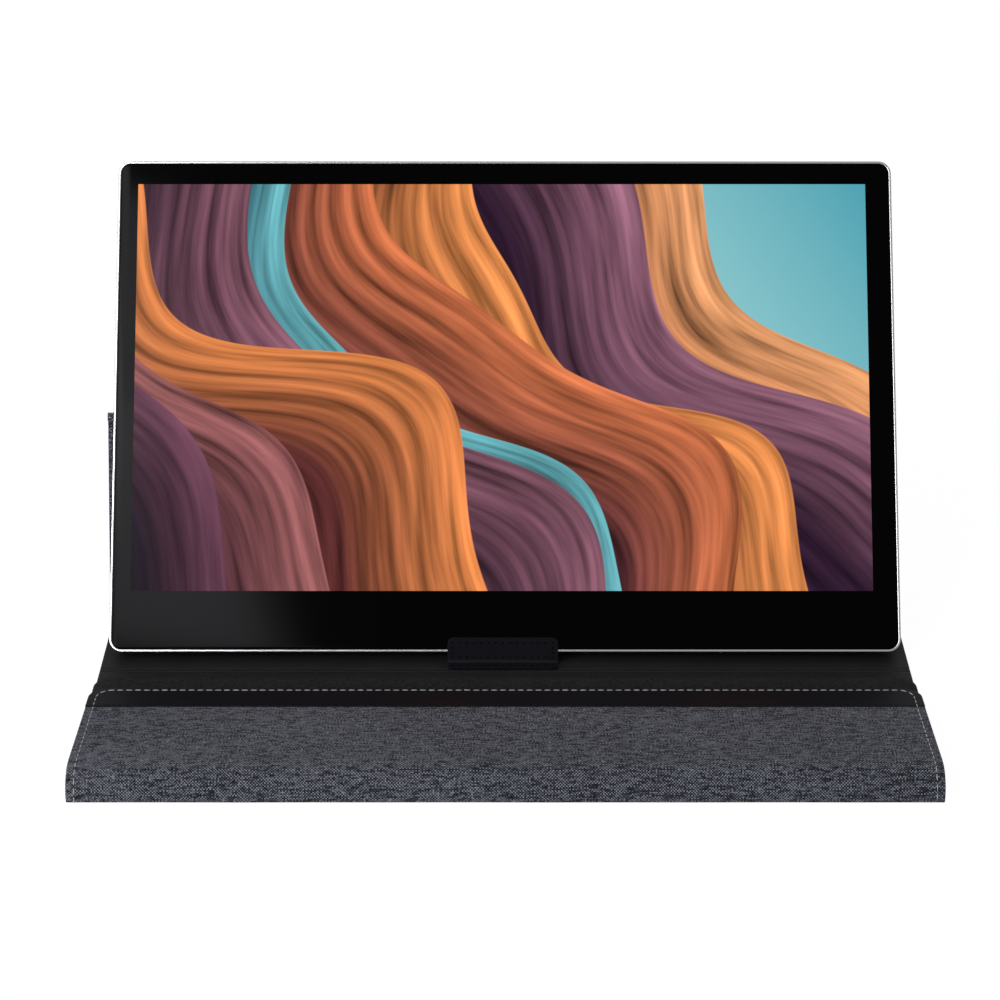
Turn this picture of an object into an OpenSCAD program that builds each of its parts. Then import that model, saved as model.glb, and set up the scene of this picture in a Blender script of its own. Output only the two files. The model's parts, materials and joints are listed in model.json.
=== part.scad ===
// Portable monitor standing on its folded cover.
// X runs along the width, Y from the front edge of the cover to its rear foot, Z up.

/* [Screen] */
// Width of the lit picture area
active_w = 344.2; // [300:0.2:380]
// Height of the picture area as a share of its width
active_ratio = 0.5625; // [0.5:0.0125:0.65]
// Dark border beside the picture
side_border = 9.7; // [8:0.1:14]
// Dark border above the picture
top_border = 10.1; // [8:0.1:14]
// Dark border between the lower edge of the glass and the picture
chin_h = 27.1; // [24:0.1:30]
// Thickness of the front glass
glass_t = 0.7; // [0.5:0.1:0.9]
// Sideways shift of the picture from the middle of the glass
active_shift = -1.5; // [-2:0.1:2]

/* [Casing] */
// Width of the polished rim round the glass
rim_w = 1.2; // [1.1:0.1:2]
// Depth of the rim frame
rim_depth = 3; // [2.6:0.1:3.1]
// Thickness of the whole monitor
case_t = 9; // [8.8:0.1:11]
// Corner radius of the casing seen from the front
case_r = 6; // [4:0.5:12]
// Wall of the rear cover
wall = 1.2; // [0.9:0.1:1.3]
// Radius of the rounded rear edges
edge_r = 1.5; // [1:0.1:1.8]
// Angle at which the monitor leans back from upright
lean = 35; // [32:0.5:37]

/* [Cover] */
// Width of the base, the ledge and the flap
cover_w = 373; // [368:0.5:400]
// Thickness of the woven outer fabric
fabric_t = 0.5; // [0.3:0.1:0.7]
// Thickness of the stiffening boards
board_t = 1.5; // [1.2:0.1:1.8]
// Thickness of the inner lining
lining_t = 0.5; // [0.3:0.1:0.7]
// Reach of the base in front of the monitor's foot
front_reach = 114; // [105:0.5:130]
// Radius of the cover's free corners
free_r = 8; // [4:0.5:14]
// Depth of the ledge panel from front to back
ledge_len = 87; // [70:0.5:92]
// Distance from the monitor's foot to the ledge panel
ledge_gap = 19; // [15:0.5:28]
// Thickness of the ledge panel
ledge_t = 2.5; // [2:0.1:2.6]

/* [Flap] */
// Radius of the rounded front fold
roll_r = 12; // [11.5:0.1:12.3]
// Length of the flap
flap_len = 66; // [50:0.5:70]
// Angle at which the flap slopes down to the rear
flap_drop = 4.5; // [4:0.1:4.8]
// Width of the smooth strip along the flap's free edge
trim_w = 17; // [10:0.5:24]

/* [Stand] */
// How much narrower than the cover the stand panels are on each side
stand_inset = 1.5; // [0:0.1:4]
// Sideways shift of the stand panels
stand_shift = -1.5; // [-1.5:0.1:1.5]
// Distance from the monitor's back to the fold line at the top of the stand
apex_gap = 1.55; // [1.5:0.05:2.2]
// Length of the front stand panel from fold to fold
prop_len = 100; // [90:0.5:115]
// Angle at which the front stand panel leans back from upright
prop_lean = 22.5; // [22:0.1:24]
// Length of the rear stand panel
rear_len = 140; // [130:0.5:150]
// Width of the spine next to the foot fold
spine_w = 12; // [9:0.5:16]
// Radius of the bead in each fold
fold_r = 1; // [0.7:0.1:1.1]

/* [Stop tab] */
// Width of the stop tab
tab_w = 51; // [30:0.5:80]
// Height of the upright leaf
tab_h = 10.4; // [8:0.1:11]
// Thickness of the leaf
tab_t = 1.4; // [1:0.1:1.4]
// Angle at which the leaf leans back
tab_lean = 15; // [10:0.5:16]
// Corner radius of the leaf
tab_r = 3; // [1.5:0.1:4]

/* [Side controls and sockets] */
// Height of the power button above the lower edge
power_v = 60; // [40:1:70]
// Height of the menu rocker above the lower edge
rocker_v = 92; // [84:1:120]
// Length of the power button
power_len = 9; // [6:0.5:12]
// Length of the menu rocker
rocker_len = 20; // [14:0.5:24]
// Width of both controls
control_w = 2.6; // [2:0.1:3]
// How far the controls stand out of the side
control_out = 0.5; // [0.3:0.1:0.7]
// Height of the first data socket above the lower edge
usb_v = 34; // [28:1:38]
// Distance between the two data sockets
usb_pitch = 17; // [14:0.5:20]
// Height of the video socket above the lower edge
hdmi_v = 72; // [70:1:78]
// Radius of the headphone socket's bore
jack_r = 1.75; // [1.7:0.01:1.8]
// Height of the headphone socket above the lower edge
jack_v = 11; // [9:0.5:13]

/* [Hidden] */
$fn = 48;
eps = 0.01;
far = 400;

// Glass round the picture
active_h = active_w * active_ratio;
glass_w = active_w + 2 * side_border;
glass_h = active_h + top_border + chin_h;

// Casing
seat_gap = 0.3;
case_w = glass_w + 2 * rim_w;
case_h = glass_h + 2 * rim_w;
chamfer = 0.6;
glass_play = 0.05;
bond_t = 0.5;
shelf = 3;
glass_r = case_r - rim_w;
active_v = rim_w + chin_h + active_h / 2;

// Layers behind the glass
lcd_t = 1.2;
lcd_edge = 2.9;
lcd_w = active_w + 2 * lcd_edge;
lcd_h = active_h + 2 * lcd_edge;
lcd_back = glass_t + lcd_t;
diffuser_t = 0.4;
guide_t = 1.2;
reflector_t = 0.3;
guide_inset = 2;
guide_front = lcd_back + diffuser_t;
guide_back = guide_front + guide_t;
stack_back = guide_back + reflector_t;
tray_t = 0.4;
tray_gap = 0.3;
tray_back = stack_back + tray_t;
led_h = 1.2;
led_gap = 0.3;
led_count = 36;
led_size = 3.2;

// Room inside the rear cover
back_in = case_t - wall;
side_in = case_w / 2 - wall;
inner_r = case_r - wall;

// Circuit boards
pcb_t = 1;
pcb_lift = 0.4;
pcb_back = back_in - pcb_lift;
pcb_front = pcb_back - pcb_t;
pcb_w = 84;
pcb_right = side_in - 1.4;
pcb_low = 24;
pcb_high = 84;
pcb_mid_v = (pcb_low + pcb_high) / 2;
pcb_mid_x = pcb_right - pcb_w / 2;
screw_inset = 4;
screw_r = 1;
screw_head_r = 1.8;
screw_head_t = 0.5;
boss_r = 2.6;
chip_t = 1.1;

// Sockets
port_depth = 6.4;
port_h = 3.1;
port_front = pcb_front - 0.05 - port_h;
port_mid = port_front + port_h / 2;
port_wall = 0.3;
port_play = 0.15;
usb_w = 8.94;
usb_r = port_h / 2 - eps;
hdmi_w = 11.2;
hdmi_r = 0.8;
tongue_t = 0.7;
jack_block = 4.2;
jack_len = 12;
jack_mid = rim_depth + 0.2 + jack_block / 2;

// Side controls
control_play = 0.2;
control_flange = 0.6;
control_lip = 1;
control_gap = 0.3;
switch_t = 1.1;
button_pcb_t = 0.7;
button_pcb_h = 3.4;
button_pcb_end = 8;
control_mid = 5.6;
switch_travel = 0.45;
flange_out = -side_in + control_gap;
flange_in = flange_out + control_flange;
switch_out = flange_in + switch_travel;
switch_in = switch_out + switch_t;

// Speakers
speaker_w = 44;
speaker_h = 13;
speaker_t = 3.8;
speaker_x = 82;
speaker_v = 12;
speaker_front = back_in - speaker_t - 0.1;
slot_count = 12;
slot_pitch = 2.6;
slot_w = 1;
slot_h = 6;

// Magnets
magnet_r = 5;
magnet_t = 1;
back_magnet_x = 150;
back_magnet_low = 150;
back_magnet_high = 212;

// Cover layers
cover_t = fabric_t + board_t + lining_t;
half_t = cover_t / 2;
board_edge = 2;
stand_w = cover_w - 2 * stand_inset;
base_front = -front_reach;
roll_wall = 2;
roll_skin = 0.6;
roll_y = base_front + roll_r;
roll_z = 1.2;
roll_end = roll_y - 2;
roll_seam = 0.15;
plate_front = base_front + roll_wall + roll_seam;
fold_room = fold_r + 0.5;
crease_w = 0.6;
crease_deep = 0.2;
crease_places = [-7, -9.5];
hem_in = 2;
hem_w = 0.5;

// Flap
flap_y = base_front + roll_r / 2;
flap_z = roll_z + roll_r / 2 + 0.1;
flap_low = roll_r / 2 - cover_t + 0.45;
flap_start = roll_r / 2 + 1.6;
flap_end = flap_start + flap_len;
flap_magnet_x = 120;
flap_magnet_len = 24;
flap_magnet_w = 7;

// Monitor's pivot, the middle of its rounded lower rear edge
pivot_y = edge_r * sin(lean) + (case_t - edge_r) * cos(lean);
pivot_z = cover_t + edge_r + seat_gap;

// Stand: its top fold lies apex_gap behind the monitor's back
foot_z = half_t;
prop_rise = 90 - prop_lean;
apex_room = 2.2;
apex_back = edge_r + apex_gap + (foot_z + prop_len * cos(prop_lean) - pivot_z) * sin(lean);
foot_gap = pivot_y + apex_back / cos(lean) - prop_len * sin(prop_lean);
base_rear = foot_gap - fold_room - 0.4;
apex_y = foot_gap + prop_len * sin(prop_lean);
apex_z = foot_z + prop_len * cos(prop_lean);
rear_drop = asin((apex_z - half_t + 0.1) / rear_len);
rear_end = apex_y + rear_len * cos(rear_drop) + half_t * sin(rear_drop);
board_gap = 2;
rear_magnet_x = 150;

// Stop tab
tab_x = -1;
tab_y = -2.1;
tab_bead = 0.7;
tab_flange_t = 0.9;
tab_flange_len = 4.6;
tab_z = cover_t + tab_flange_t + 0.5;
tab_foot = tab_bead + 0.3;
hole_r = 0.35;
hole_in = 2.4;
hole_count = 15;
side_holes = 3;

mid_y = (base_front + rear_end) / 2;

// Plain plates

module round_rect(w, h, r) {
    square([w - 2 * r, h], center = true);
    square([w, h - 2 * r], center = true);
    for (sx = [-1, 1], sy = [-1, 1])
        translate([sx * (w / 2 - r), sy * (h / 2 - r)]) circle(r);
}

// Plate in the monitor's frame: its front face lies at depth, its middle at x and v
module upright_plate(x, v, depth, w, h, t, r) {
    translate([x, depth + t, v]) rotate([90, 0, 0])
        linear_extrude(t) round_rect(w, h, r);
}

module upright_box(x, v, depth, w, h, t) {
    translate([x - w / 2, depth, v - h / 2]) cube([w, t, h]);
}

// Outline of a cover sheet from y0 to y1 with corner radii r0 and r1
module sheet_outline(w, y0, y1, r0, r1) {
    translate([-w / 2, y0 + r0]) square([w, y1 - y0 - r0 - r1]);
    if (r0 > 0) {
        translate([r0 - w / 2, y0]) square([w - 2 * r0, r0]);
        for (s = [-1, 1]) translate([s * (w / 2 - r0), y0 + r0]) circle(r0);
    }
    if (r1 > 0) {
        translate([r1 - w / 2, y1 - r1]) square([w - 2 * r1, r1]);
        for (s = [-1, 1]) translate([s * (w / 2 - r1), y1 - r1]) circle(r1);
    }
}

module sheet(w, y0, y1, z, t, r0 = 0, r1 = 0) {
    translate([0, 0, z]) linear_extrude(t) sheet_outline(w, y0, y1, r0, r1);
}

// Sheet whose sides turn up round the boards, wrap high
module wrapped_sheet(w, y0, y1, z, t, wrap, r0 = 0, r1 = 0) {
    sheet(w, y0, y1, z, t, r0, r1);
    for (s = [-1, 1])
        translate([s * (w / 2 - board_edge / 2) - board_edge / 2, y0 + r0, min(z, z + wrap)])
            cube([board_edge, y1 - y0 - r0 - r1, t + abs(wrap)]);
}

// Frames that the bodies stand in

module on_floor() {
    translate([0, -mid_y, 0]) children();
}

module on_monitor() {
    on_floor() translate([0, pivot_y, pivot_z]) rotate([-lean, 0, 0])
        translate([0, edge_r - case_t, -edge_r]) children();
}

module on_flap() {
    on_floor() translate([0, flap_y, flap_z]) rotate([-flap_drop, 0, 0]) children();
}

module on_prop() {
    on_floor() translate([stand_shift, foot_gap, foot_z]) rotate([prop_rise, 0, 0]) children();
}

module on_rear() {
    on_floor() translate([stand_shift, apex_y, apex_z]) rotate([-rear_drop, 0, 0]) children();
}

module on_tab() {
    on_floor() translate([tab_x, tab_y, tab_z]) rotate([-tab_lean, 0, 0]) children();
}

// Monitor

module front_glass() {
    color("#050506") on_monitor()
        upright_plate(0, case_h / 2, 0, glass_w, glass_h, glass_t, glass_r);
}

module rim_frame() {
    color("#d9dadc") on_monitor() difference() {
        hull() {
            upright_plate(0, case_h / 2, 0, case_w - 2 * chamfer, case_h - 2 * chamfer, eps,
                case_r - chamfer);
            upright_plate(0, case_h / 2, chamfer, case_w, case_h, rim_depth - chamfer, case_r);
        }
        upright_plate(0, case_h / 2, -1, glass_w + 2 * glass_play, glass_h + 2 * glass_play,
            1 + glass_t + bond_t, glass_r + glass_play);
        upright_plate(0, case_h / 2, -1, glass_w - 2 * shelf, glass_h - 2 * shelf,
            rim_depth + 2, glass_r - 1);
    }
}

module glass_bond() {
    color("#1c1c1e") on_monitor() difference() {
        upright_plate(0, case_h / 2, glass_t, glass_w - 0.4, glass_h - 0.4, bond_t, glass_r);
        upright_plate(0, case_h / 2, glass_t - 1, glass_w - 2 * shelf, glass_h - 2 * shelf,
            bond_t + 2, glass_r - 1);
    }
}

module lcd_panel() {
    color("#15151a") on_monitor()
        upright_box(active_shift, active_v, glass_t, lcd_w, lcd_h, lcd_t);
}

module diffuser_sheet() {
    color("#f2f2ee") on_monitor()
        upright_box(active_shift, active_v, lcd_back, lcd_w - guide_inset, lcd_h - guide_inset,
            diffuser_t);
}

module light_guide() {
    color("#dfe8ea") on_monitor()
        upright_box(active_shift, active_v, guide_front, lcd_w - guide_inset,
            lcd_h - 2 * guide_inset, guide_t);
}

module reflector_sheet() {
    color("#fafafa") on_monitor()
        upright_box(active_shift, active_v, guide_back, lcd_w - guide_inset,
            lcd_h - 2 * guide_inset, reflector_t);
}

module led_strip() {
    strip_v = active_v - lcd_h / 2 + guide_inset - led_gap - led_h / 2;
    pitch = (lcd_w - 4 * guide_inset) / (led_count - 1);
    color("#f6f3d8") on_monitor() {
        upright_box(active_shift, strip_v - led_h / 4, guide_front, lcd_w - guide_inset,
            led_h / 2, guide_t);
        for (i = [0 : led_count - 1])
            upright_box(active_shift + (i - (led_count - 1) / 2) * pitch, strip_v + led_h / 4,
                guide_front + 0.1, led_size, led_h / 2, guide_t - 0.2);
    }
}

module panel_tray() {
    color("#aeb1b5") on_monitor() difference() {
        upright_box(active_shift, active_v, lcd_back, lcd_w + 2 * tray_t,
            lcd_h + 2 * tray_t, tray_back - lcd_back);
        upright_box(active_shift, active_v, lcd_back - 1, lcd_w, lcd_h,
            stack_back - lcd_back + 1);
    }
}

module screw_places() {
    for (sx = [-1, 1], sv = [-1, 1])
        translate([pcb_mid_x + sx * (pcb_w / 2 - screw_inset), 0,
            pcb_mid_v + sv * ((pcb_high - pcb_low) / 2 - screw_inset)])
            rotate([-90, 0, 0]) children();
}

// Opening for a side control, cut through the left wall
module control_hole(v, length) {
    translate([-case_w / 2 - 1, control_mid, v]) rotate([0, 90, 0])
        linear_extrude(wall + 2)
            round_rect(length + 2 * control_play, control_w + 2 * control_play,
                control_w / 2 + control_play - eps);
}

// Opening for a socket, cut through the right wall
module socket_hole(v, w, r) {
    translate([case_w / 2 - wall - 1, port_mid, v]) rotate([0, 90, 0])
        linear_extrude(wall + 2)
            round_rect(w + 2 * port_play, port_h + 2 * port_play, r + port_play);
}

module rear_cover() {
    color("#3a3c40") on_monitor() {
        difference() {
            hull() {
                upright_plate(0, case_h / 2, rim_depth, case_w, case_h,
                    case_t - edge_r - rim_depth, case_r);
                upright_plate(0, case_h / 2, rim_depth, case_w - 2 * edge_r * (1 - sin(60)),
                    case_h - 2 * edge_r * (1 - sin(60)),
                    case_t - edge_r * (1 - cos(60)) - rim_depth, case_r - edge_r * (1 - sin(60)));
                upright_plate(0, case_h / 2, rim_depth, case_w - 2 * edge_r * (1 - sin(30)),
                    case_h - 2 * edge_r * (1 - sin(30)),
                    case_t - edge_r * (1 - cos(30)) - rim_depth, case_r - edge_r * (1 - sin(30)));
                upright_plate(0, case_h / 2, rim_depth, case_w - 2 * edge_r,
                    case_h - 2 * edge_r, case_t - rim_depth, case_r - edge_r);
            }
            upright_plate(0, case_h / 2, rim_depth - 1, case_w - 2 * wall, case_h - 2 * wall,
                back_in - rim_depth + 1, inner_r);
            control_hole(power_v, power_len);
            control_hole(rocker_v, rocker_len);
            socket_hole(usb_v, usb_w, usb_r);
            socket_hole(usb_v + usb_pitch, usb_w, usb_r);
            socket_hole(hdmi_v, hdmi_w, hdmi_r);
            translate([-case_w / 2 - 1, jack_mid, jack_v]) rotate([0, 90, 0])
                cylinder(r = jack_r + 0.3, h = wall + 2);
            for (s = [-1, 1], i = [0 : slot_count - 1])
                upright_box(s * speaker_x + (i - (slot_count - 1) / 2) * slot_pitch, speaker_v,
                    back_in - 1, slot_w, slot_h, wall + 2);
        }
        screw_places() translate([0, 0, pcb_back]) cylinder(r = boss_r, h = pcb_lift + eps);
    }
}

module main_board() {
    color("#1f5b3a") on_monitor() {
        difference() {
            upright_plate(pcb_mid_x, pcb_mid_v, pcb_front, pcb_w, pcb_high - pcb_low, pcb_t, 1);
            screw_places() translate([0, 0, pcb_front - 1])
                cylinder(r = screw_r + 0.2, h = pcb_t + 2);
        }
        upright_box(pcb_mid_x - 12, pcb_mid_v, pcb_front - chip_t, 16, 16, chip_t);
        upright_box(pcb_mid_x + 12, pcb_mid_v + 12, pcb_front - chip_t, 9, 9, chip_t);
        for (i = [0 : 5])
            upright_box(pcb_mid_x + 8 + 4 * i, pcb_mid_v - 10, pcb_front - 0.8, 2.4, 5, 0.8);
    }
}

module board_screws() {
    color("#b9bcc0") on_monitor() screw_places() {
        translate([0, 0, pcb_front - screw_head_t]) cylinder(r = screw_head_r, h = screw_head_t);
        translate([0, 0, pcb_front - eps]) cylinder(r = screw_r, h = pcb_t - 0.1);
    }
}

// Metal shell of a socket with its tongue, flush with the right side
module socket_shell(v, w, r) {
    translate([case_w / 2 - 0.1, port_mid, v]) rotate([0, -90, 0]) {
        difference() {
            linear_extrude(port_depth) round_rect(w, port_h, r);
            translate([0, 0, -1]) linear_extrude(port_depth - 0.4 + 1)
                round_rect(w - 2 * port_wall, port_h - 2 * port_wall, r - port_wall);
        }
        translate([0, 0, 1]) linear_extrude(port_depth - 1)
            square([w - 2.4, tongue_t], center = true);
    }
}

module usb_c_ports() {
    color("#8f9296") on_monitor() {
        socket_shell(usb_v, usb_w, usb_r);
        socket_shell(usb_v + usb_pitch, usb_w, usb_r);
    }
}

module hdmi_port() {
    color("#8f9296") on_monitor() socket_shell(hdmi_v, hdmi_w, hdmi_r);
}

module audio_jack() {
    color("#101012") on_monitor() difference() {
        union() {
            translate([-side_in + 0.2, jack_mid - jack_block / 2, jack_v - jack_block / 2])
                cube([jack_len, jack_block, jack_block]);
            translate([-case_w / 2 + 0.1, jack_mid, jack_v]) rotate([0, 90, 0])
                cylinder(r = jack_r + 0.2, h = wall + 0.2);
        }
        translate([-case_w / 2 - 1, jack_mid, jack_v]) rotate([0, 90, 0])
            cylinder(r = jack_r, h = jack_len);
    }
}

module button_board() {
    low = power_v - button_pcb_end;
    high = rocker_v + rocker_len / 2 + button_pcb_end / 2;
    color("#1f5b3a") on_monitor() {
        translate([switch_in, control_mid - button_pcb_h / 2, low])
            cube([button_pcb_t, button_pcb_h, high - low]);
        for (v = [power_v, rocker_v - rocker_len / 2 + 3, rocker_v + rocker_len / 2 - 3])
            translate([switch_out, control_mid - 1.2, v - 1.5])
                cube([switch_t + eps, 2.4, 3]);
    }
}

module power_button() {
    color("#c9cacc") on_monitor() {
        translate([-case_w / 2 - control_out, control_mid, power_v]) rotate([0, 90, 0])
            linear_extrude(control_out + wall + control_gap + eps)
                round_rect(power_len, control_w, control_w / 2 - eps);
        translate([flange_out, control_mid - control_w / 2, power_v - power_len / 2 - control_lip])
            cube([control_flange, control_w, power_len + 2 * control_lip]);
    }
}

module menu_rocker() {
    foot_len = 2;
    color("#c9cacc") on_monitor() {
        translate([-case_w / 2 - control_out, control_mid, rocker_v]) rotate([0, 90, 0])
            linear_extrude(control_out + wall + control_gap + eps)
                round_rect(rocker_len, control_w, control_w / 2 - eps);
        translate([flange_out, control_mid - control_w / 2, rocker_v - foot_len])
            cube([control_flange, control_w, 2 * foot_len]);
        for (s = [-1, 1])
            translate([flange_out - eps, control_mid - 0.6,
                rocker_v + s * (rocker_len / 2 - 3) - 0.6])
                cube([control_flange - 0.1, 1.2, 1.2]);
    }
}

module speaker(x) {
    on_monitor() difference() {
        upright_plate(x, speaker_v, speaker_front, speaker_w, speaker_h, speaker_t, 3);
        translate([x, speaker_front + speaker_t - 0.8, speaker_v]) rotate([-90, 0, 0])
            difference() {
                cylinder(r = 5.4, h = 1);
                translate([0, 0, -1]) cylinder(r = 3.2, h = 3);
            }
    }
}

module speaker_left() { color("#17171a") speaker(-speaker_x); }
module speaker_right() { color("#17171a") speaker(speaker_x); }

module panel_cable() {
    cable_x = pcb_mid_x - 31;
    color("#c8912f") on_monitor() {
        upright_box(cable_x, pcb_mid_v - 8, tray_back, 18, 36, 0.3);
        upright_box(cable_x, pcb_mid_v + 6, tray_back + 0.3 - eps, 18, 4,
            pcb_front - tray_back - 0.3 + eps);
    }
}

module button_cable() {
    start = switch_in + button_pcb_t;
    finish = pcb_mid_x - pcb_w / 2 + 3;
    color("#d8d8d4") on_monitor()
        translate([start, pcb_back, power_v + 4]) cube([finish - start, 0.2, 5]);
}

module back_magnets() {
    color("#9fa2a6") on_monitor()
        for (s = [-1, 1], v = [back_magnet_low, back_magnet_high])
            translate([s * back_magnet_x, back_in - magnet_t, v]) rotate([-90, 0, 0])
                cylinder(r = magnet_r, h = magnet_t);
}

// Cover on the table

module base_fabric() {
    color("#6d7078") on_floor()
        wrapped_sheet(cover_w, plate_front, base_rear, 0, fabric_t, board_t);
}

module base_board() {
    color("#8a7d68") on_floor()
        sheet(cover_w - 2 * board_edge, plate_front, base_rear, fabric_t, board_t);
}

module base_lining() {
    color("#1b1b1e") on_floor()
        difference() {
            sheet(cover_w, plate_front, base_rear, fabric_t + board_t, lining_t);
            for (y = crease_places)
                translate([-cover_w, y - crease_w / 2, cover_t - crease_deep])
                    cube([2 * cover_w, crease_w, 1]);
        }
}

// The hem is pressed in as a shallow groove along the rear edge and both sides
module ledge_panel() {
    ledge_front = -ledge_gap - ledge_len;
    color("#222226") on_floor() difference() {
        sheet(cover_w, ledge_front, -ledge_gap, cover_t, ledge_t, 0, free_r);
        translate([0, 0, cover_t + ledge_t - crease_deep]) linear_extrude(1) difference() {
            sheet_outline(cover_w - 2 * hem_in, ledge_front - 1, -ledge_gap - hem_in,
                0, free_r - hem_in);
            sheet_outline(cover_w - 2 * hem_in - 2 * hem_w, ledge_front - 2,
                -ledge_gap - hem_in - hem_w, 0, free_r - hem_in - hem_w);
        }
    }
}

// Quarter-round front fold between two radii, closed below by an upright edge
module roll_band(outer, inner) {
    on_floor() translate([-cover_w / 2, 0, 0]) rotate([90, 0, 90]) linear_extrude(cover_w) {
        intersection() {
            translate([roll_y, roll_z]) difference() {
                circle(outer, $fn = 96);
                circle(inner, $fn = 96);
            }
            translate([base_front, roll_z]) square([roll_end - base_front, roll_r + 1]);
        }
        translate([roll_y - outer, 0]) square([outer - inner, roll_z + eps]);
    }
}

module front_roll() { color("#5c5f66") roll_band(roll_r, roll_r - roll_skin); }
module front_roll_lining() { color("#1b1b1e") roll_band(roll_r - roll_skin, roll_r - roll_wall); }

module flap_fabric() {
    color("#6d7078") on_flap()
        wrapped_sheet(cover_w, flap_start, flap_end - trim_w, flap_low + lining_t + board_t,
            fabric_t, -board_t);
}

module flap_trim() {
    color("#1d1d21") on_flap()
        sheet(cover_w, flap_end - trim_w, flap_end, flap_low + lining_t + board_t, fabric_t,
            0, free_r);
}

module flap_magnet_places() {
    for (s = [-1, 1])
        translate([s * flap_magnet_x, flap_end - trim_w / 2, flap_low + lining_t + 0.2])
            children();
}

module flap_board() {
    color("#8a7d68") on_flap() difference() {
        sheet(cover_w - 2 * board_edge, flap_start, flap_end, flap_low + lining_t, board_t,
            0, free_r - board_edge / 2);
        flap_magnet_places()
            translate([-flap_magnet_len / 2 - 0.1, -flap_magnet_w / 2 - 0.1, 0])
                cube([flap_magnet_len + 0.2, flap_magnet_w + 0.2, board_t]);
    }
}

module flap_magnets() {
    color("#9fa2a6") on_flap() flap_magnet_places()
        translate([-flap_magnet_len / 2, -flap_magnet_w / 2, 0])
            cube([flap_magnet_len, flap_magnet_w, magnet_t]);
}

module flap_lining() {
    color("#1b1b1e") on_flap()
        sheet(cover_w, flap_start, flap_end, flap_low, lining_t, 0, free_r);
}

// Stand folded from the rear half of the cover

module fold_bead() {
    translate([-stand_w / 2, 0, 0]) rotate([0, 90, 0]) cylinder(r = fold_r, h = stand_w);
}

module foot_fold() {
    color("#5c5f66") on_prop() fold_bead();
}

module apex_fold() {
    color("#5c5f66") on_prop() translate([0, prop_len, 0]) fold_bead();
}

module spine_board() {
    color("#8a7d68") on_prop()
        sheet(stand_w - 2 * board_edge, fold_room, spine_w, -board_t / 2, board_t);
}

module prop_board() {
    color("#8a7d68") on_prop()
        sheet(stand_w - 2 * board_edge, spine_w + board_gap, prop_len - apex_room,
            -board_t / 2, board_t);
}

module prop_fabric() {
    color("#5c5f66") on_prop()
        wrapped_sheet(stand_w, fold_room, prop_len - apex_room, -board_t / 2 - fabric_t,
            fabric_t, board_t);
}

module prop_facing() {
    color("#74777e") on_prop()
        sheet(stand_w, fold_room, prop_len - apex_room, board_t / 2, lining_t);
}

module rear_magnet_places() {
    for (sx = [-1, 0, 1])
        translate([sx * rear_magnet_x, rear_len / 2, -board_t / 2 + 0.2]) children();
}

module rear_board() {
    color("#8a7d68") on_rear() difference() {
        sheet(stand_w - 2 * board_edge, apex_room, rear_len, -board_t / 2, board_t,
            0, free_r - board_edge / 2);
        rear_magnet_places() cylinder(r = magnet_r + 0.1, h = board_t);
    }
}

module rear_magnets() {
    color("#9fa2a6") on_rear() rear_magnet_places() cylinder(r = magnet_r, h = magnet_t);
}

module rear_fabric() {
    color("#5c5f66") on_rear()
        wrapped_sheet(stand_w, apex_room, rear_len, board_t / 2, fabric_t,
            -board_t, 0, free_r);
}

module rear_facing() {
    color("#74777e") on_rear()
        sheet(stand_w, apex_room, rear_len, -board_t / 2 - lining_t, lining_t, 0, free_r);
}

// Stop tab sewn to the base in front of the monitor

// A row of needle holes across the tab at height y
module hole_row(y) {
    pitch = (tab_w - 2 * hole_in) / (hole_count - 1);
    for (i = [0 : hole_count - 1])
        translate([(i - (hole_count - 1) / 2) * pitch, y, -2]) cylinder(r = hole_r, h = 6);
}

module tab_flange() {
    color("#17171a") on_floor() translate([tab_x, tab_y, 0]) {
        translate([0, 0, cover_t]) difference() {
            linear_extrude(tab_flange_t)
                sheet_outline(tab_w, -tab_flange_len + tab_bead, tab_bead, 1, 0);
            translate([0, 0, tab_flange_t]) hole_row(-tab_flange_len / 2);
        }
        translate([-tab_w / 2, 0, tab_z]) rotate([0, 90, 0])
            cylinder(r = tab_bead, h = tab_w);
        translate([-tab_w / 2, -tab_bead, cover_t]) cube([tab_w, 2 * tab_bead, tab_z - cover_t]);
    }
}

module tab_leaf() {
    side_pitch = (tab_h - 2 * hole_in) / (side_holes + 1);
    color("#17171a") on_tab() translate([0, tab_t / 2, 0]) rotate([90, 0, 0]) difference() {
        linear_extrude(tab_t) sheet_outline(tab_w, tab_foot, tab_foot + tab_h, 0, tab_r);
        hole_row(tab_foot + hole_in);
        hole_row(tab_foot + tab_h - hole_in);
        for (s = [-1, 1], i = [1 : side_holes])
            translate([s * (tab_w / 2 - hole_in), tab_foot + hole_in + i * side_pitch, -1])
                cylinder(r = hole_r, h = tab_t + 2);
    }
}

front_glass();
rim_frame();
glass_bond();
lcd_panel();
diffuser_sheet();
light_guide();
reflector_sheet();
led_strip();
panel_tray();
rear_cover();
main_board();
usb_c_ports();
hdmi_port();
audio_jack();
button_board();
power_button();
menu_rocker();
speaker_left();
speaker_right();
panel_cable();
button_cable();
back_magnets();
board_screws();
base_fabric();
base_board();
base_lining();
ledge_panel();
front_roll();
front_roll_lining();
flap_fabric();
flap_trim();
flap_board();
flap_lining();
flap_magnets();
foot_fold();
spine_board();
prop_board();
prop_fabric();
prop_facing();
apex_fold();
rear_board();
rear_fabric();
rear_facing();
rear_magnets();
tab_flange();
tab_leaf();
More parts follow.
